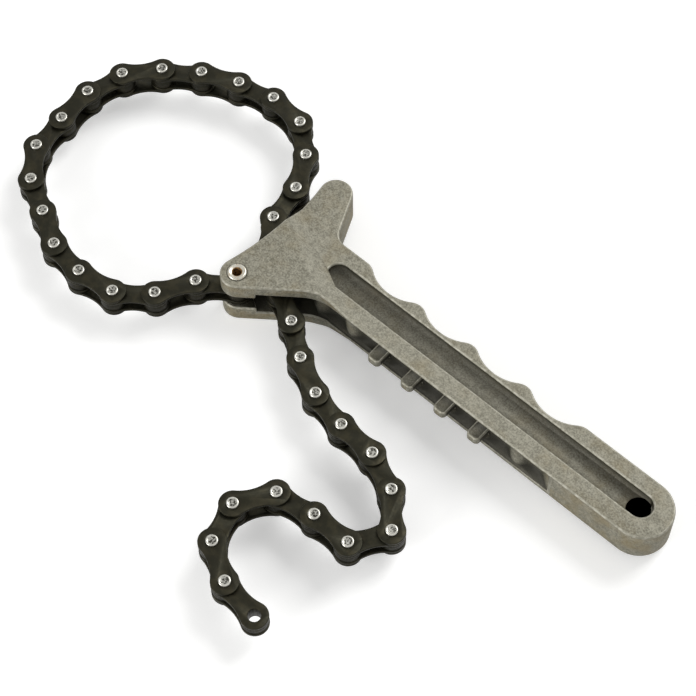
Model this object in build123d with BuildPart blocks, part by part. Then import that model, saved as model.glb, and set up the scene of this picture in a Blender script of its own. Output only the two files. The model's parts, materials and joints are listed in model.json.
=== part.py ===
from build123d import *
from math import acos, atan, cos, degrees, radians, sin, sqrt, tan
import os

# Chain oil filter wrench, laid flat as it rests. The origin is on the axis of the rivet that holds
# the chain, at the underside of the head. +X runs along the grip towards its hang hole.

# Chain: 1/2 inch roller chain
pitch = 12.7
roller_d = 7.75
roller_wall = 1.325
bush_wall = 0.62
pin_d = 3.66
pin_length = 8.8
plate_end_r = 4.1
plate_waist = 5.8
plate_t = 1.0
inner_width = 3.3
side_gap = 0.1
running_fit = 0.05

# Directions of the links in degrees, from the rivet round the loop, through the head and down the tail
link_headings = [
    -140, -119, -141, -172, -188, -208, -207, -231, -262, -264, -284, -310,
    -324, -337, -347, -366, -399, -421, -440, -415, -391, -390, -395, -387,
    -372, -364, -383, -408, -482, -540, -531, -482, -433, -390, -367,
]

# Casting: thicknesses and the hollow between its two cheeks
head_t = 18.0
grip_t = 12.0
hollow_w = 9.7
anchor_slot_w = 5.9

# Head outline
lobe_r = 5.2
tip_x = 1.3
tip_y = 42.0
tip_r = 5.2
filter_edge_r = 96.0
horn_angle = -65.0
neck_fillet = 5.0
lower_angle = 38.2
throat_fillet = 15.0
pad_reach = 3.6
pad_angle = 59.5

# Step from the thick head down to the grip
step_x = 7.7
step_y = 21.9
step_angle = 62.0
step_run = 6.5

# Grip outline
grip_lower_y = 11.2
grip_width = 18.7
grip_end_x = 136.0
finger_count = 4
finger_pitch = 20.4
finger_first_x = 36.6
finger_depth = 3.8
crest_drop = 0.75
finger_r = 14.0

# Grooves in both faces of the grip, and the hang hole at their end
groove_w = 7.5
groove_y = 21.05
groove_depth = 3.4
groove_start_x = 21.7
hang_d = 6.7
hang_inset = 1.0

# Rack in the lower edge of the grip, where the chain's rollers hook
tooth_count = 4
tooth_first_x = 46.7
tooth_w = 4.5
tooth_t = 3.0
tooth_tip_y = 7.6
tooth_chamfer = 0.9
hump_y = 12.45
gullet_depth = 2.5
gullet_r = 5.2
wall_angle = -35.0
wall_reach = 30.0

# Hollow rivet at the chain's fixed end
rivet_head_d = 6.6
rivet_head_t = 0.9
rivet_head_inset = 0.1
rivet_cone_t = 1.3
rivet_roll_d = 5.9
rivet_roll_t = 0.6
rivet_bore_d = 2.9
rivet_bore_depth = 5.0

# Reaches past the casting, for what is cut from it
beyond = 15.0
far = 200.0

# Sizes that follow from the ones above
mid_z = head_t / 2
half_pitch = pitch / 2
bush_d = roller_d - 2 * roller_wall - 2 * running_fit
bush_bore = pin_d + 2 * running_fit
inner_over = inner_width + 2 * plate_t
outer_inside = inner_over + 2 * side_gap
grip_upper_y = grip_lower_y + grip_width
grip_mid_y = grip_lower_y + grip_width / 2
grip_end_r = grip_width / 2
hang_x = grip_end_x - hang_inset
hollow_low_z = mid_z - hollow_w / 2
grip_low_z = mid_z - grip_t / 2
grip_high_z = mid_z + grip_t / 2
tooth_root_y = hump_y + gullet_depth / 2

os.makedirs("parts", exist_ok=True)


def heading(degrees_):
    return Vector(cos(radians(degrees_)), sin(radians(degrees_)))


def wave_angle(rise, run):
    """The turn of two equal-slope arcs that climb rise over run, and the sum of their radii."""
    turn = 2 * atan(rise / run)
    return turn, run / sin(turn)


def export(part, label):
    part.label = label
    export_step(part, f"parts/{label}.step")


# The head's filter side bears on the can along a hollow arc that runs tangent into both lobes
lobe = Vector(0, 0)
tip = Vector(tip_x, tip_y)
half_span = (tip - lobe) * 0.5
edge_reach = sqrt((filter_edge_r + lobe_r) ** 2 - half_span.length**2)
edge_centre = half_span + Vector(-half_span.Y, half_span.X).normalized() * edge_reach
lobe_start = lobe + (edge_centre - lobe).normalized() * lobe_r
tip_start = tip + (edge_centre - tip).normalized() * tip_r
edge_middle = edge_centre + (half_span - edge_centre).normalized() * filter_edge_r
tip_end = tip + heading(horn_angle + 90) * tip_r
neck = Vector(tip_end.X + (grip_upper_y - tip_end.Y) / tan(radians(horn_angle)), grip_upper_y)
lower_start = lobe + heading(lower_angle - 90) * lobe_r
throat = Vector(lower_start.X + (grip_lower_y - lower_start.Y) / tan(radians(lower_angle)), grip_lower_y)

# The finger hollows are arcs that meet rounded crests tangentially
finger_turn, finger_radii = wave_angle(finger_depth - crest_drop, finger_pitch / 2)
crest_r = finger_radii - finger_r
finger_end_turn = acos(1 - finger_depth / finger_radii)
finger_start_x = finger_first_x - finger_radii * sin(finger_end_turn)
grip_turns = [(crest_r, -finger_end_turn), (finger_r, finger_end_turn + finger_turn)]
for finger in range(finger_count - 2):
    grip_turns += [(crest_r, -2 * finger_turn), (finger_r, 2 * finger_turn)]
grip_turns += [
    (crest_r, -2 * finger_turn),
    (finger_r, finger_turn + finger_end_turn),
    (crest_r, -finger_end_turn),
]


def turns(start, direction, arcs):
    """Adds arcs one after the other, each tangent to the last, and gives the last one."""
    point, tangent = start, direction
    for radius, turn in arcs:
        arc = JernArc(point, tangent, radius, degrees(turn))
        point, tangent = arc @ 1, arc % 1
    return arc


with BuildSketch() as casting_outline:
    with BuildLine():
        ThreePointArc(lobe_start, edge_middle, tip_start)
        ThreePointArc(tip_start, tip + heading(90 + horn_angle / 2) * tip_r, tip_end)
        Line(tip_end, neck)
        Line(neck, (finger_start_x, grip_upper_y))
        fingers = turns(Vector(finger_start_x, grip_upper_y), (1, 0), grip_turns)
        Line(fingers @ 1, (grip_end_x, grip_upper_y))
        ThreePointArc(
            (grip_end_x, grip_upper_y),
            (grip_end_x + grip_end_r, grip_mid_y),
            (grip_end_x, grip_lower_y),
        )
        Line((grip_end_x, grip_lower_y), throat)
        Line(throat, lower_start)
        ThreePointArc(lower_start, lobe + heading(lower_angle - 180) * lobe_r, lobe_start)
    make_face()
    fillet(casting_outline.vertices().sort_by_distance(neck)[0], neck_fillet)
    fillet(casting_outline.vertices().sort_by_distance(throat)[0], throat_fillet)

# The hollow's back wall: straight through the head, then a gullet for each roller of the rack
gullet_turn, gullet_radii = wave_angle(gullet_depth, half_pitch)
hump_r = gullet_radii - gullet_r
nose_x = tooth_first_x - 2 * pitch
nose_centre = Vector(nose_x, hump_y + hump_r)
wall_end = nose_centre + heading(wall_angle - 90) * hump_r
wall_start = wall_end - heading(wall_angle) * wall_reach
gullet_count = tooth_count + 3
rack_turns = [(hump_r, gullet_turn - radians(wall_angle)), (gullet_r, -2 * gullet_turn)]
for gullet in range(gullet_count - 2):
    rack_turns += [(hump_r, 2 * gullet_turn), (gullet_r, -2 * gullet_turn)]
rack_turns += [(hump_r, 2 * gullet_turn), (gullet_r, radians(wall_angle) - gullet_turn)]

with BuildSketch(Plane.XY.offset(hollow_low_z)) as hollow_outline:
    with BuildLine():
        Line(wall_start, wall_end)
        rack = turns(wall_end, heading(wall_angle), rack_turns)
        run_out = Line(rack @ 1, (rack @ 1) + (rack % 1) * pitch)
        Polyline(run_out @ 1, ((run_out @ 1).X, -far), (-far, -far), (-far, wall_start.Y), wall_start)
    make_face()

with BuildSketch(Plane.XY.offset(hollow_low_z)) as pad_outline:
    add(casting_outline.sketch)
    with Locations(Location(heading(pad_angle) * (pad_reach - far / 2), pad_angle)):
        Rectangle(far, far, mode=Mode.INTERSECT)

with BuildSketch(Plane.XY.offset(mid_z - tooth_t / 2)) as tooth_outline:
    for tooth in range(tooth_count):
        tooth_x = tooth_first_x + tooth * pitch
        with BuildLine():
            Polyline(
                (tooth_x - tooth_w / 2, tooth_root_y),
                (tooth_x - tooth_w / 2, tooth_tip_y + tooth_chamfer),
                (tooth_x - tooth_w / 2 + tooth_chamfer, tooth_tip_y),
                (tooth_x + tooth_w / 2 - tooth_chamfer, tooth_tip_y),
                (tooth_x + tooth_w / 2, tooth_tip_y + tooth_chamfer),
                (tooth_x + tooth_w / 2, tooth_root_y),
                close=True,
            )
        make_face()


def step_profile(z_head, z_grip, z_out):
    """The wedge of metal that is left off one face beyond the step."""
    Polyline(
        (-step_run / 2, z_head),
        (step_run / 2, z_grip),
        (far, z_grip),
        (far, z_out),
        (-step_run / 2, z_out),
        close=True,
    )


step_normal = heading(step_angle)
step_plane = Plane(
    origin=(step_x, step_y, 0),
    x_dir=(step_normal.X, step_normal.Y, 0),
    z_dir=(step_normal.Y, -step_normal.X, 0),
)

with BuildPart() as handle:
    add(casting_outline.sketch)
    extrude(amount=head_t)
    with BuildSketch(step_plane):
        with BuildLine():
            step_profile(head_t, grip_high_z, head_t + beyond)
        make_face()
        with BuildLine():
            step_profile(0, grip_low_z, -beyond)
        make_face()
    extrude(amount=far, both=True, mode=Mode.SUBTRACT)
    add(hollow_outline.sketch)
    extrude(amount=hollow_w, mode=Mode.SUBTRACT)
    add(pad_outline.sketch)
    extrude(amount=(hollow_w - anchor_slot_w) / 2)
    add(pad_outline.sketch.moved(Location((0, 0, (hollow_w + anchor_slot_w) / 2))))
    extrude(amount=(hollow_w - anchor_slot_w) / 2)
    add(tooth_outline.sketch)
    extrude(amount=tooth_t)
    for groove_z in (grip_high_z - groove_depth, grip_low_z):
        with BuildSketch(Plane.XY.offset(groove_z)):
            with Locations(((groove_start_x + hang_x) / 2, groove_y)):
                SlotCenterToCenter(hang_x - groove_start_x, groove_w)
        extrude(amount=groove_depth, mode=Mode.SUBTRACT)
    with Locations((hang_x, groove_y, mid_z)):
        Hole(hang_d / 2)
    Hole(pin_d / 2)
    with BuildSketch(Plane.XZ):
        with BuildLine():
            Polyline(
                (0, 0),
                (rivet_head_d / 2, 0),
                (rivet_head_d / 2, rivet_head_inset + rivet_head_t),
                (pin_d / 2, rivet_head_inset + rivet_head_t + rivet_cone_t),
                (0, rivet_head_inset + rivet_head_t + rivet_cone_t),
                close=True,
            )
        make_face()
    revolve(axis=Axis.Z, mode=Mode.SUBTRACT)
export(handle.part, "handle")

with BuildPart() as anchor_rivet:
    with BuildSketch(Plane.XZ):
        with BuildLine():
            Polyline(
                (0, head_t - rivet_bore_depth),
                (0, rivet_head_inset),
                (rivet_head_d / 2, rivet_head_inset),
                (rivet_head_d / 2, rivet_head_inset + rivet_head_t),
                (pin_d / 2, rivet_head_inset + rivet_head_t + rivet_cone_t),
                (pin_d / 2, head_t),
                (rivet_roll_d / 2, head_t),
            )
            roll_out = RadiusArc(
                (rivet_roll_d / 2, head_t),
                (rivet_roll_d / 2 - rivet_roll_t, head_t + rivet_roll_t),
                -rivet_roll_t,
            )
            Line(roll_out @ 1, (rivet_bore_d / 2, head_t + rivet_roll_t / 2))
            Polyline(
                (rivet_bore_d / 2, head_t + rivet_roll_t / 2),
                (rivet_bore_d / 2, head_t - rivet_bore_depth + rivet_bore_d / 2),
                (0, head_t - rivet_bore_depth),
            )
        make_face()
    revolve(axis=Axis.Z)
export(anchor_rivet.part, "anchor_rivet")

# Side plate: two round ends joined by a waist
waist_r = ((plate_waist / 2) ** 2 + half_pitch**2 - plate_end_r**2) / (2 * plate_end_r - plate_waist)
waist_centre = Vector(0, plate_waist / 2 + waist_r)
end_centre = Vector(half_pitch, 0)
shoulder = end_centre + (waist_centre - end_centre).normalized() * plate_end_r

with BuildSketch() as plate_outline:
    with BuildLine():
        ThreePointArc(shoulder, (half_pitch + plate_end_r, 0), (shoulder.X, -shoulder.Y))
        ThreePointArc((shoulder.X, -shoulder.Y), (0, -plate_waist / 2), (-shoulder.X, -shoulder.Y))
        ThreePointArc((-shoulder.X, -shoulder.Y), (-half_pitch - plate_end_r, 0), (-shoulder.X, shoulder.Y))
        ThreePointArc((-shoulder.X, shoulder.Y), (0, plate_waist / 2), shoulder)
    make_face()

pin_places = GridLocations(pitch, 0, 2, 1)


def plate_pair(inside):
    """A plate on each side of the chain's middle plane, inside apart."""
    for low_z in (inside / 2, -inside / 2 - plate_t):
        with BuildSketch(Plane.XY.offset(low_z)) as plate:
            add(plate_outline.sketch)
        extrude(plate.sketch, amount=plate_t)


# Inner link: plates pressed on two bushes, with a loose roller round each bush
with BuildPart() as inner_link:
    plate_pair(inner_width)
    with pin_places:
        Cylinder(bush_d / 2, inner_width)
        Hole(bush_bore / 2)
    with BuildSketch(Plane.XY.offset(running_fit - inner_width / 2)):
        with pin_places:
            Circle(roller_d / 2)
            Circle(bush_d / 2 + running_fit, mode=Mode.SUBTRACT)
    extrude(amount=inner_width - 2 * running_fit)

# Outer link: plates outside the inner ones, riveted to two pins that turn in the bushes
with BuildPart() as outer_plates:
    plate_pair(outer_inside)
    with pin_places:
        Hole(pin_d / 2)

with BuildPart() as link_pins:
    with pin_places:
        Cylinder(pin_d / 2, pin_length)

joint_at = Vector(0, 0, mid_z)
for number, angle in enumerate(link_headings):
    along = heading(angle)
    place = Location(Plane(origin=joint_at + along * half_pitch, x_dir=along, z_dir=(0, 0, 1)))
    if number % 2 == 0:
        export(inner_link.part.moved(place), f"inner_link_{number // 2 + 1:02d}")
    else:
        export(outer_plates.part.moved(place), f"outer_plates_{number // 2 + 1:02d}")
        export(link_pins.part.moved(place), f"link_pins_{number // 2 + 1:02d}")
    joint_at += along * pitch
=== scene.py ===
import json
import math

import bmesh
import bpy
from mathutils import Matrix, Vector


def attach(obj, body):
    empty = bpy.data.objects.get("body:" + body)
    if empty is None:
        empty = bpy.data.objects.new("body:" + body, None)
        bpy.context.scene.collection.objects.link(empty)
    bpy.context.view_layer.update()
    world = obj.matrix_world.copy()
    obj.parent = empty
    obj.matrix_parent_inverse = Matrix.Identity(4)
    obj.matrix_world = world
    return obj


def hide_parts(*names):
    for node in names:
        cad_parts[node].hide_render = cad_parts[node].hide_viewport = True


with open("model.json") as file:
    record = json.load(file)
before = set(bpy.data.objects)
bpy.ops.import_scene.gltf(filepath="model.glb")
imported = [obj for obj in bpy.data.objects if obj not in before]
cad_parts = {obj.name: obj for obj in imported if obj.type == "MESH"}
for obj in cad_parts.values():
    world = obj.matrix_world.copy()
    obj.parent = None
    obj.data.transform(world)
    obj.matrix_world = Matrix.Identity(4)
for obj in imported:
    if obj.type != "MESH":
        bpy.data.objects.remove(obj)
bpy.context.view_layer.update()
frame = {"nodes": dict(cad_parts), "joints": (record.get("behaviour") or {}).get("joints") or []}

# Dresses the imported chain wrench: a cast aluminium handle, black steel links and a steel rivet.
# Turned pins with dished ends take the place of the chain's plain ones. Lengths are in metres.

MM = 0.001

# Camera, at the photograph's viewing angle; lens and sensor in millimetres
CAMERA_AT = Vector((238.8, -209.2, 518.4)) * MM
CAMERA_LOOKS_AT = Vector((38.2, 6.64, 8.8)) * MM
CAMERA_ROLL = math.radians(0.876)
CAMERA_LENS = 103.3
SENSOR = 36.0

# Rounding of the edges, and the number of faces across each
CAST_EDGE = 0.55 * MM
PLATE_EDGE = 0.16 * MM
RIVET_EDGE = 0.12 * MM
CAST_SEGMENTS = 3
STEEL_SEGMENTS = 2
SHARP = math.radians(35)
FLAT = math.radians(0.5)
WELD_GAP = 0.001 * MM

# Peened ends of the chain's pins: a rounded rim round a sunk middle
PIN_R = 1.83 * MM
PIN_HALF = 4.4 * MM
PIN_EDGE = 0.28 * MM
PIN_CORNER = 0.3
PIN_RING = 1.25 * MM
PIN_MIDDLE = 0.75 * MM
PIN_DISH = 0.12 * MM
PIN_SIDES = 32
CENTRE_BANDS = 2
RIM_SLOT, CENTRE_SLOT = 0, 1

# Blotches of the casting's skin, and how strongly each shows
CAST_GRAIN = 0.55 * MM
CAST_MOTTLE = 1.8 * MM
CAST_BLOTCH = 9.0 * MM
SPECK_SIZE = 0.6 * MM
STAIN_SIZE = 5.0 * MM
GRAIN_SHARE = 0.72
PATINA_SHARE = 0.32
SPECK_SHARE = 0.5
STAIN_SHARE = 0.35

# A noise's values mostly stay between these
NOISE_LOW = 0.3
NOISE_HIGH = 0.7

# Where painted shade darkens the casting's recesses, and the rings round the anchor rivet's axis,
# with a painted shadow on the casting round the rivet
AO_SAMPLES = 8
SHADE_REACH = 14.0 * MM
PAINTED_SHADE_SHARE = 0.98
GROOVE_CORNER = (15.0 * MM, 15.0 * MM)
GROOVE_BLEND = (3.0 * MM, 1.5 * MM)
GROOVE_FLOOR_SHADE = 0.38
RIVET_BORE_R = 1.55 * MM
RIVET_CLEAN_R = 1.705 * MM
# The painted shadow on the casting round the rivet fades out between the next two radii
RIVET_LIP_R = 2.95 * MM
RIVET_SHADE_R = 3.35 * MM
RIVET_SHADE_SHARE = 0.85

# Colours, linear
CAST_GREY = (0.122, 0.115, 0.083)
CAST_LIGHT = (0.312, 0.299, 0.237)
CAST_PATINA = (0.205, 0.155, 0.065)
CAST_SPECK = (0.37, 0.355, 0.295)
# Edge colours: rubbed wear, the lighter one also a painted highlight along the rims
CAST_WORN = (0.215, 0.205, 0.158)
CAST_RUBBED_HIGHLIGHT = (0.350, 0.335, 0.275)
# Painted shade for the casting's recesses and the painted shadow round the rivet
CAST_PAINTED_SHADE = (0.012, 0.0105, 0.004)
CHAIN_BLACK = (0.019, 0.018, 0.011)
CHAIN_BROWN = (0.029, 0.026, 0.015)
BRIGHT = (0.52, 0.51, 0.46)
PEENED = (0.36, 0.355, 0.32)
PIT = (0.035, 0.033, 0.026)
RIVET = (0.50, 0.485, 0.42)
RIVET_RUST = (0.34, 0.19, 0.07)
FLOOR = (0.90, 0.90, 0.89)
WHITE = (1.0, 1.0, 1.0)

# Studio
ROOM_LIGHT = 0.42
FLOOR_SIZE = 6.0
FLOOR_Z = -0.2 * MM
FLOOR_ROUGHNESS = 0.9
FLOOR_LIFT = 0.30
LAMP_SIZE = 0.6
LAMPS_AIM = Vector((30, 0, 0)) * MM
KEY_AT = Vector((0.10, 0.75, 0.75))
KEY_POWER = 6.6
FILL_AT = Vector((-0.25, -1.00, 0.42))
FILL_POWER = 8.5

# Sockets of a Mix node's colours, which share their names with its other kinds
MIX_FIRST, MIX_SECOND, MIX_RESULT = 6, 7, 2


class Tree:
    """A node tree, with short calls that add a node and link it."""

    def __init__(self, tree):
        self.tree = tree

    def add(self, kind, **settings):
        node = self.tree.nodes.new(kind)
        for key, value in settings.items():
            setattr(node, key, value)
        return node

    def put(self, socket, value):
        """Links an output to the socket, or sets the socket to a plain value."""
        if isinstance(value, bpy.types.NodeSocket):
            self.tree.links.new(value, socket)
        elif isinstance(value, tuple) and len(value) == 3 and socket.type == "RGBA":
            socket.default_value = (*value, 1.0)
        else:
            socket.default_value = value

    def math(self, operation, a, b=0.0):
        node = self.add("ShaderNodeMath", operation=operation)
        self.put(node.inputs[0], a)
        self.put(node.inputs[1], b)
        return node.outputs[0]


class Material(Tree):
    """A Principled material. What is the same all over is set on the shader itself."""

    def __init__(self, name, metallic, roughness):
        self.material = bpy.data.materials.new(name)
        self.material.use_nodes = True
        super().__init__(self.material.node_tree)
        self.shader = self.tree.nodes["Principled BSDF"]
        self.shader.inputs["Metallic"].default_value = metallic
        self.shader.inputs["Roughness"].default_value = roughness
        self.place = self.add("ShaderNodeTexCoord").outputs["Object"]

    def finish(self, **varied):
        """Links what varies over the surface to the shader's sockets, such as base_color."""
        for name, value in varied.items():
            self.put(self.shader.inputs[name.replace("_", " ").title()], value)
        return self.material

    def noise(self, size, detail=4.0, rough=0.55):
        """Noise whose blotches are about size metres across."""
        node = self.add("ShaderNodeTexNoise")
        self.put(node.inputs["Vector"], self.place)
        node.inputs["Scale"].default_value = 1 / size
        node.inputs["Detail"].default_value = detail
        node.inputs["Roughness"].default_value = rough
        return node.outputs["Fac"]

    def ramp(self, value, low, high, to_low=0.0, to_high=1.0):
        """Goes smoothly from to_low to to_high as the value goes from low to high."""
        node = self.add("ShaderNodeMapRange", interpolation_type="SMOOTHSTEP")
        self.put(node.inputs["Value"], value)
        ends = {"From Min": low, "From Max": high, "To Min": to_low, "To Max": to_high}
        for name, number in ends.items():
            node.inputs[name].default_value = number
        return node.outputs["Result"]

    def between(self, noise, least, most):
        """A value that wanders between least and most with the noise."""
        return self.ramp(noise, NOISE_LOW, NOISE_HIGH, least, most)

    def mix(self, amount, first, second):
        node = self.add("ShaderNodeMix", data_type="RGBA")
        self.put(node.inputs["Factor"], amount)
        self.put(node.inputs[MIX_FIRST], first)
        self.put(node.inputs[MIX_SECOND], second)
        return node.outputs[MIX_RESULT]

    def bump(self, height, depth, under=None):
        """Relief of the given depth in metres, on top of another relief if there is one."""
        node = self.add("ShaderNodeBump")
        node.inputs["Distance"].default_value = depth
        self.put(node.inputs["Height"], height)
        if under is not None:
            self.put(node.inputs["Normal"], under)
        return node.outputs["Normal"]

    def openness(self, reach):
        """1 on an open face, less in a corner or a recess of the same piece."""
        node = self.add("ShaderNodeAmbientOcclusion", samples=AO_SAMPLES, only_local=True)
        node.inputs["Distance"].default_value = reach
        return node.outputs["AO"]

    def from_axis(self):
        """The distance from the anchor rivet's axis."""
        level = self.add("ShaderNodeVectorMath", operation="MULTIPLY")
        self.put(level.inputs[0], self.place)
        level.inputs[1].default_value = (1, 1, 0)
        length = self.add("ShaderNodeVectorMath", operation="LENGTH")
        self.put(length.inputs[0], level.outputs[0])
        return length.outputs["Value"]

    def beyond(self, corner, blend):
        """1 where both X and Y lie beyond the corner, after a blend from 0."""
        split = self.add("ShaderNodeSeparateXYZ")
        self.put(split.inputs[0], self.place)
        along = self.ramp(split.outputs["X"], corner[0], corner[0] + blend[0])
        across = self.ramp(split.outputs["Y"], corner[1], corner[1] + blend[1])
        return self.math("MULTIPLY", along, across)

    def level(self):
        """1 on a face that lies flat, either way up, and 0 on an upright wall."""
        split = self.add("ShaderNodeSeparateXYZ")
        self.put(split.inputs[0], self.add("ShaderNodeNewGeometry").outputs["Normal"])
        return self.math("ABSOLUTE", split.outputs["Z"])


def cast_aluminium():
    """Dull die-cast skin, mottled and stained, with painted shade in its recesses and a painted
    shadow round the rivet.
    """
    m = Material("cast_aluminium", metallic=0.35, roughness=0.6)
    grain = m.noise(CAST_GRAIN, detail=3.0, rough=0.7)
    mottle = m.noise(CAST_MOTTLE, detail=3.0, rough=0.6)
    coarse = m.math("MULTIPLY", mottle, 1 - GRAIN_SHARE)
    shade = m.math("ADD", m.math("MULTIPLY", grain, GRAIN_SHARE), coarse)
    colour = m.mix(m.ramp(shade, 0.36, 0.64), CAST_GREY, CAST_LIGHT)

    blotch = m.noise(CAST_BLOTCH, detail=5.0, rough=0.6)
    colour = m.mix(m.ramp(blotch, 0.42, 0.75, to_high=PATINA_SHARE), colour, CAST_PATINA)
    specks = m.noise(SPECK_SIZE, detail=2.0)
    colour = m.mix(m.ramp(specks, 0.66, 0.74, to_high=SPECK_SHARE), colour, CAST_SPECK)
    walls = m.ramp(m.math("SUBTRACT", 1.0, m.level()), 0.3, 0.9)
    stain = m.ramp(m.noise(STAIN_SIZE), 0.42, 0.62, to_high=STAIN_SHARE)
    colour = m.mix(m.math("MULTIPLY", walls, stain), colour, CAST_PATINA)

    # Painted shade: the casting darkens where its own recesses hide it, and less on the groove's
    # floor
    painted_shade = m.ramp(m.openness(SHADE_REACH), 0.60, 0.99, to_low=PAINTED_SHADE_SHARE, to_high=0.0)
    groove_floor = m.math("MULTIPLY", m.level(), m.beyond(GROOVE_CORNER, GROOVE_BLEND))
    shade_kept = m.ramp(groove_floor, 0.0, 1.0, to_low=1.0, to_high=GROOVE_FLOOR_SHADE)
    colour = m.mix(m.math("MULTIPLY", painted_shade, shade_kept), colour, CAST_PAINTED_SHADE)
    # Painted shadow: a dark ring on the casting just outside the rivet's lip
    rivet_shade = m.ramp(m.from_axis(), RIVET_LIP_R, RIVET_SHADE_R, to_low=RIVET_SHADE_SHARE, to_high=0.0)
    return m.finish(
        base_color=m.mix(rivet_shade, colour, CAST_PAINTED_SHADE),
        roughness=m.between(grain, 0.52, 0.70),
        normal=m.bump(grain, 0.05 * MM, under=m.bump(mottle, 0.08 * MM)),
    )


def cast_edge():
    """The rounded edges of the casting, rubbed a little lighter, the lighter colour partly a
    painted highlight along the edges.
    """
    m = Material("cast_edge", metallic=0.45, roughness=0.5)
    # Rubbed wear and painted highlight, in patches along the edges
    rub_and_highlight = m.ramp(m.noise(1.2 * MM), 0.35, 0.65)
    return m.finish(
        base_color=m.mix(rub_and_highlight, CAST_WORN, CAST_RUBBED_HIGHLIGHT),
        normal=m.bump(m.noise(CAST_GRAIN, detail=3.0), 0.04 * MM),
    )


def chain_steel():
    """Black oiled steel, satin, with faint brown patches and fine tumbling marks."""
    m = Material("chain_steel", metallic=0.85, roughness=0.45)
    patch = m.ramp(m.noise(3 * MM), 0.42, 0.66)
    return m.finish(
        base_color=m.mix(patch, CHAIN_BLACK, CHAIN_BROWN),
        roughness=m.between(m.noise(0.8 * MM), 0.34, 0.52),
        normal=m.bump(m.noise(0.35 * MM, detail=3.0), 0.012 * MM),
    )


def pin_steel():
    """The bright rounded rim of a pin end, a little stained."""
    m = Material("pin_steel", metallic=0.95, roughness=0.26)
    stain = m.ramp(m.noise(0.9 * MM), 0.45, 0.70, to_high=0.25)
    return m.finish(
        base_color=m.mix(stain, BRIGHT, PIT),
        roughness=m.between(m.noise(0.5 * MM), 0.20, 0.32),
        normal=m.bump(m.noise(0.3 * MM), 0.015 * MM),
    )


def pin_centre():
    """The peened middle of a pin end: bright steel pitted by the riveting tool."""
    m = Material("pin_centre", metallic=0.9, roughness=0.38)
    pits = m.noise(0.55 * MM, detail=3.0, rough=0.6)
    return m.finish(
        base_color=m.mix(m.ramp(pits, 0.44, 0.56), PIT, PEENED),
        normal=m.bump(pits, 0.03 * MM),
    )


def rivet_steel():
    """The anchor rivet: a worn bright lip, and a rusty stained hollow inside it."""
    m = Material("rivet_steel", metallic=0.9, roughness=0.3)
    spots = m.ramp(m.noise(0.9 * MM), 0.45, 0.70, to_high=0.35)
    lip = m.mix(spots, RIVET, RIVET_RUST)
    rust = m.mix(m.ramp(m.noise(0.8 * MM), 0.44, 0.66), RIVET_RUST, PIT)
    outside = m.ramp(m.from_axis(), RIVET_BORE_R, RIVET_CLEAN_R)
    return m.finish(
        base_color=m.mix(outside, rust, lip),
        metallic=m.ramp(outside, 0.0, 1.0, to_low=0.2, to_high=0.9),
        roughness=m.between(m.noise(0.5 * MM), 0.22, 0.40),
        normal=m.bump(m.noise(0.35 * MM), 0.02 * MM),
    )


def set_materials(node, *materials):
    node.data.materials.clear()
    for material in materials:
        node.data.materials.append(material)


def weld(node, name):
    """Merges a CAD node's points that lie on one another."""
    node.modifiers.new(name, "WELD").merge_threshold = WELD_GAP


def join_facets(node):
    """Joins a CAD node's coplanar facets into whole faces, and shades them smoothly."""
    weld(node, "weld")
    flat = node.modifiers.new("flat", "DECIMATE")
    flat.decimate_type = "DISSOLVE"
    flat.angle_limit = FLAT
    for face in node.data.polygons:
        face.use_smooth = True


def soften(node, width, segments):
    """Rounds a CAD node's sharp edges inwards."""
    bevel = node.modifiers.new("bevel", "BEVEL")
    bevel.width = width
    bevel.segments = segments
    bevel.limit_method = "ANGLE"
    bevel.angle_limit = SHARP
    bevel.harden_normals = True
    return bevel


def outer_edges():
    """A node group that marks the sharp edges that point outwards, for the bevel to round."""
    group = bpy.data.node_groups.new("outer_edges", "GeometryNodeTree")
    for way in ("INPUT", "OUTPUT"):
        group.interface.new_socket("Geometry", in_out=way, socket_type="NodeSocketGeometry")
    tree = Tree(group)
    angle = tree.add("GeometryNodeInputMeshEdgeAngle")
    outward = tree.add("FunctionNodeCompare", data_type="FLOAT", operation="GREATER_THAN")
    tree.put(outward.inputs[0], angle.outputs["Signed Angle"])
    tree.put(outward.inputs[1], SHARP)
    store = tree.add("GeometryNodeStoreNamedAttribute", data_type="FLOAT", domain="EDGE")
    store.inputs["Name"].default_value = "bevel_weight_edge"
    tree.put(store.inputs["Value"], outward.outputs[0])
    tree.put(store.inputs["Geometry"], tree.add("NodeGroupInput").outputs[0])
    tree.put(tree.add("NodeGroupOutput").inputs[0], store.outputs["Geometry"])
    return group


def dress_casting(node, skin, edge):
    """Rounds the outward edges only, since the casting's inner corners are too close together."""
    set_materials(node, skin, edge)
    join_facets(node)
    marks = node.modifiers.new("outer_edges", "NODES")
    marks.node_group = outer_edges()
    bevel = soften(node, CAST_EDGE, CAST_SEGMENTS)
    bevel.limit_method = "WEIGHT"
    bevel.use_clamp_overlap = False
    bevel.material = node.data.materials.find(edge.name)
    weld(node, "weld_corners")


def dress_steel(node, steel, width):
    """Gives a steel piece its material, and rounds all its sharp edges."""
    set_materials(node, steel)
    join_facets(node)
    soften(node, width, STEEL_SEGMENTS)


def ring(mesh, centre, radius):
    """A circle of points round an upright axis, or one point where the radius is nought."""
    if radius == 0.0:
        return [mesh.verts.new(centre)]
    turns = [math.tau * side / PIN_SIDES for side in range(PIN_SIDES)]
    return [mesh.verts.new(centre + Vector((math.cos(t), math.sin(t), 0)) * radius) for t in turns]


def band(mesh, upper, lower, slot):
    """The faces between two rings, either of which may be a single point."""
    for side in range(PIN_SIDES):
        following = (side + 1) % PIN_SIDES
        corners = [upper[side % len(upper)], lower[side % len(lower)]]
        corners += [lower[following % len(lower)], upper[following % len(upper)]]
        face = mesh.faces.new(list(dict.fromkeys(corners)))
        face.smooth = True
        face.material_index = slot


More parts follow.
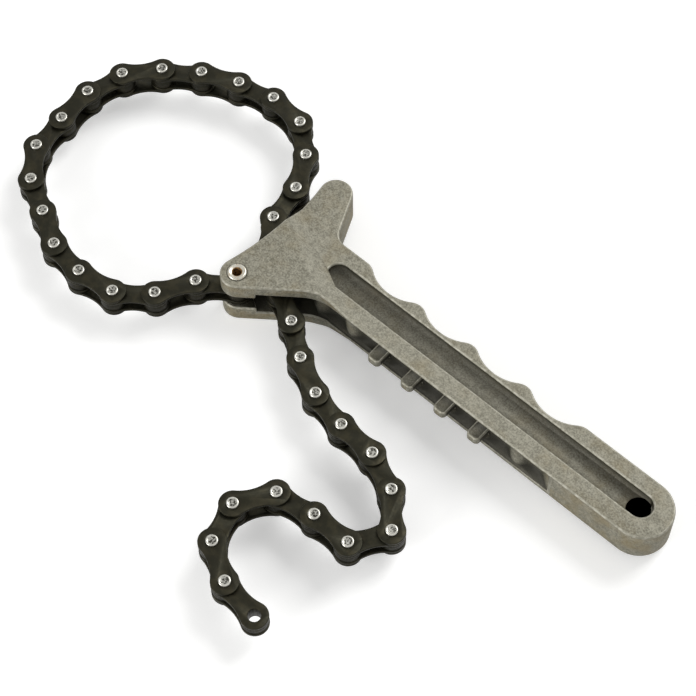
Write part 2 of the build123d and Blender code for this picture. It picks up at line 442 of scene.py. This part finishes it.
def pin_mesh(name, places, rim, centre):
    """Two pins with rounded, slightly dished ends, turned round their own axes."""
    half = [
        (0.0, PIN_HALF - PIN_DISH),
        (PIN_MIDDLE, PIN_HALF - PIN_DISH),
        (PIN_RING, PIN_HALF - PIN_DISH / 2),
        (PIN_RING + PIN_DISH, PIN_HALF),
        (PIN_R - PIN_EDGE, PIN_HALF),
        (PIN_R - PIN_EDGE * PIN_CORNER, PIN_HALF - PIN_EDGE * PIN_CORNER),
        (PIN_R, PIN_HALF - PIN_EDGE),
    ]
    profile = half + [(radius, -z) for radius, z in reversed(half)]
    mesh = bmesh.new()
    for place in places:
        rings = [ring(mesh, place + Vector((0, 0, z)), radius) for radius, z in profile]
        bands = list(zip(rings, rings[1:]))
        for number, (upper, lower) in enumerate(bands):
            from_end = min(number, len(bands) - 1 - number)
            slot = CENTRE_SLOT if from_end < CENTRE_BANDS else RIM_SLOT
            band(mesh, upper, lower, slot)
    data = bpy.data.meshes.new(name)
    data.materials.append(rim)
    data.materials.append(centre)
    mesh.to_mesh(data)
    mesh.free()
    piece = bpy.data.objects.new(name, data)
    bpy.context.scene.collection.objects.link(piece)
    return piece


def turn_pins(name, hinges, rim, centre):
    """Puts turned pins in the place of an outer link's plain ones."""
    number = int(name[-2:])
    pair = hinges[2 * number - 1 : 2 * number + 1]
    pins = pin_mesh(name.replace("link_pins", "turned_pins"), pair, rim, centre)
    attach(pins, f"link_{2 * number:02d}")
    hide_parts(name)


def dress():
    """Gives every CAD node its finish and swaps the plain pins for turned ones."""
    skin, edge = cast_aluminium(), cast_edge()
    steel = chain_steel()
    rim, centre = pin_steel(), pin_centre()
    rivet = rivet_steel()
    hinges = [Vector(joint["pos_m"]) for joint in frame["joints"]]
    for name, node in frame["nodes"].items():
        if name == "handle":
            dress_casting(node, skin, edge)
        elif name == "anchor_rivet":
            dress_steel(node, rivet, RIVET_EDGE)
        elif name.startswith("link_pins_"):
            turn_pins(name, hinges, rim, centre)
        else:
            dress_steel(node, steel, PLATE_EDGE)


def make_room():
    """A dim, even world, which shows plain white to the camera and in reflections."""
    world = bpy.data.worlds.new("room")
    bpy.context.scene.world = world
    world.use_nodes = True
    tree = Tree(world.node_tree)
    dim = world.node_tree.nodes["Background"]
    tree.put(dim.inputs["Color"], WHITE)
    tree.put(dim.inputs["Strength"], ROOM_LIGHT)
    white = tree.add("ShaderNodeBackground")
    tree.put(white.inputs["Color"], WHITE)
    rays = tree.add("ShaderNodeLightPath")
    seen = tree.math("MAXIMUM", rays.outputs["Is Camera Ray"], rays.outputs["Is Glossy Ray"])
    choose = tree.add("ShaderNodeMixShader")
    for socket, value in zip(choose.inputs, (seen, dim.outputs[0], white.outputs[0])):
        tree.put(socket, value)
    tree.put(world.node_tree.nodes["World Output"].inputs["Surface"], choose.outputs[0])


def lay_floor():
    """A pale floor under the tool, lifted for the camera alone so that it reads as white."""
    bpy.ops.mesh.primitive_plane_add(size=FLOOR_SIZE, location=(0, 0, FLOOR_Z))
    floor = bpy.context.object
    floor.name = "floor"
    paint = bpy.data.materials.new("floor_paint")
    paint.use_nodes = True
    tree = Tree(paint.node_tree)
    shader = paint.node_tree.nodes["Principled BSDF"]
    rays = tree.add("ShaderNodeLightPath")
    lift = tree.math("MULTIPLY", rays.outputs["Is Camera Ray"], FLOOR_LIFT)
    tree.put(shader.inputs["Base Color"], FLOOR)
    tree.put(shader.inputs["Roughness"], FLOOR_ROUGHNESS)
    tree.put(shader.inputs["Emission Color"], WHITE)
    tree.put(shader.inputs["Emission Strength"], lift)
    floor.data.materials.append(paint)


def hang_lamp(name, at, power):
    """A soft square lamp that shines on the middle of the tool."""
    lamp = bpy.data.lights.new(name, "AREA")
    lamp.size = LAMP_SIZE
    lamp.energy = power
    holder = bpy.data.objects.new(name, lamp)
    holder.location = at
    holder.rotation_mode = "QUATERNION"
    holder.rotation_quaternion = (LAMPS_AIM - at).to_track_quat("-Z", "Y")
    bpy.context.scene.collection.objects.link(holder)


def studio():
    """A white room and floor, a high lamp on the far side and a low one at the near left."""
    make_room()
    lay_floor()
    hang_lamp("key", KEY_AT, KEY_POWER)
    hang_lamp("fill", FILL_AT, FILL_POWER)


def camera():
    """The photograph's view, with its slight roll."""
    lens = bpy.data.cameras.new("camera")
    lens.lens = CAMERA_LENS
    lens.sensor_width = SENSOR
    holder = bpy.data.objects.new("camera", lens)
    ahead = (CAMERA_LOOKS_AT - CAMERA_AT).normalized()
    level = ahead.cross(Vector((0, 0, 1))).normalized()
    right = Matrix.Rotation(CAMERA_ROLL, 3, ahead) @ level
    up = right.cross(ahead)
    facing = Matrix((right, up, -ahead)).transposed().to_4x4()
    holder.matrix_world = Matrix.Translation(CAMERA_AT) @ facing
    bpy.context.scene.collection.objects.link(holder)
    bpy.context.scene.camera = holder


dress()
studio()
camera()
bpy.context.scene.view_settings.view_transform = "Standard"
